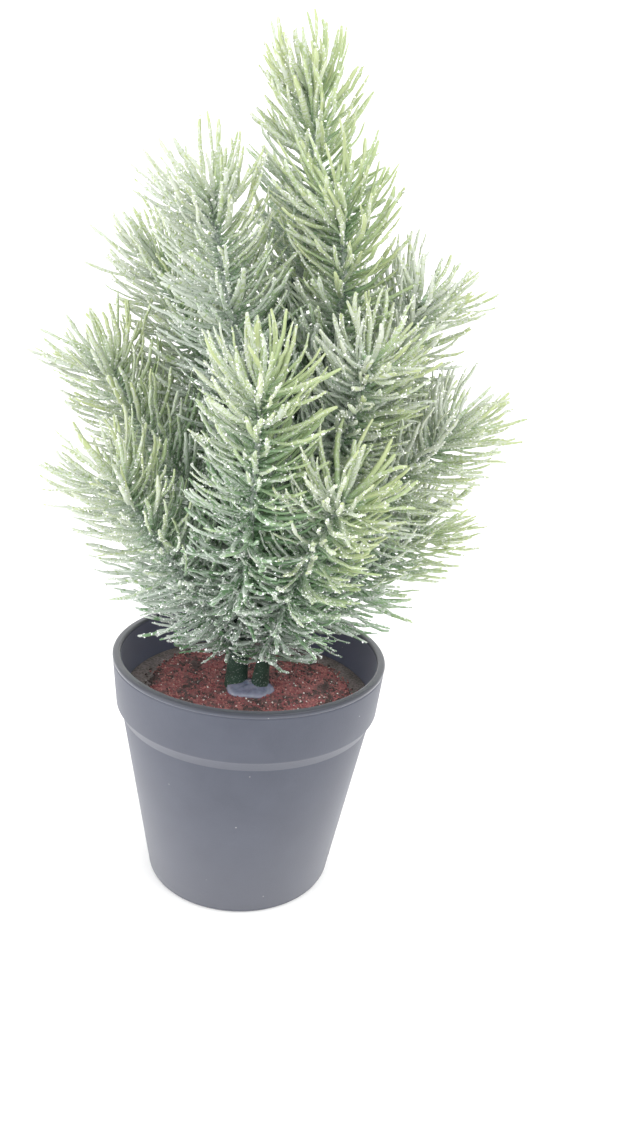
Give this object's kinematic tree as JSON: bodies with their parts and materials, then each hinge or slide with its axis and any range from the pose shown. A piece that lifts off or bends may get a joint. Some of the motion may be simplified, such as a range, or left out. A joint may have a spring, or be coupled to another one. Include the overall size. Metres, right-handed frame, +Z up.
{
  "type": "artificial frosted mini spruce in a plastic pot",
  "caption": "Artificial mini spruce: frosted, glittered plastic needle sprigs on a slim trunk, glued into grit-topped foam in a dark tapering plastic pot.",
  "frame": {"origin": "centre of the pot's flat underside", "axes": "+Z up along the pot's axis; the front of the plant, as pictured, faces -Y, and +X is to its right in the picture"},
  "size_m": [0.1491, 0.1367, 0.2869],
  "materials": {
    "pot_plastic": "satin moulded polypropylene",
    "dry_foam": "matt, finely porous",
    "red_grit": "matt loose grains, glued down",
    "hot_glue": "glossy, cloudy and translucent",
    "stem_plastic": "satin moulded polyethylene",
    "frosted_needles": "matt moulded plastic, frosted white and glittered"
  },
  "bodies": {
    "root": {"pot": "pot_plastic", "filling_foam": "dry_foam", "filling_grit": "red_grit", "glue": "hot_glue", "trunk": "stem_plastic", "second_stem": "stem_plastic", "bough_front_left_low": "stem_plastic", "bough_front_middle": "stem_plastic", "bough_right_low": "stem_plastic", "bough_right_middle": "stem_plastic", "bough_right_high": "stem_plastic", "bough_front_right_middle": "stem_plastic", "bough_front_right_high": "stem_plastic", "bough_front_left_high": "stem_plastic", "bough_left_high": "stem_plastic", "bough_left_middle": "stem_plastic", "bough_back_left_middle": "stem_plastic", "bough_back_left_low": "stem_plastic", "bough_back_low": "stem_plastic", "bough_back_right_middle": "stem_plastic", "bough_back_middle": "stem_plastic", "bough_back_right_high": "stem_plastic", "bough_back_high": "stem_plastic", "sprig_front_left_low": "frosted_needles", "sprig_front_middle": "frosted_needles", "sprig_front_right_low": "frosted_needles", "sprig_right_low": "frosted_needles", "sprig_right_middle": "frosted_needles", "sprig_right_high": "frosted_needles", "sprig_front_right_middle": "frosted_needles", "sprig_front_right_high": "frosted_needles", "sprig_front_left_high": "frosted_needles", "sprig_left_high": "frosted_needles", "sprig_left_middle": "frosted_needles", "sprig_back_left_middle": "frosted_needles", "sprig_back_left_low": "frosted_needles", "sprig_back_low": "frosted_needles", "sprig_back_right_middle": "frosted_needles", "sprig_back_middle": "frosted_needles", "sprig_back_right_high": "frosted_needles", "sprig_back_high": "frosted_needles", "sprig_leader": "frosted_needles"}
  },
  "joints": []
}
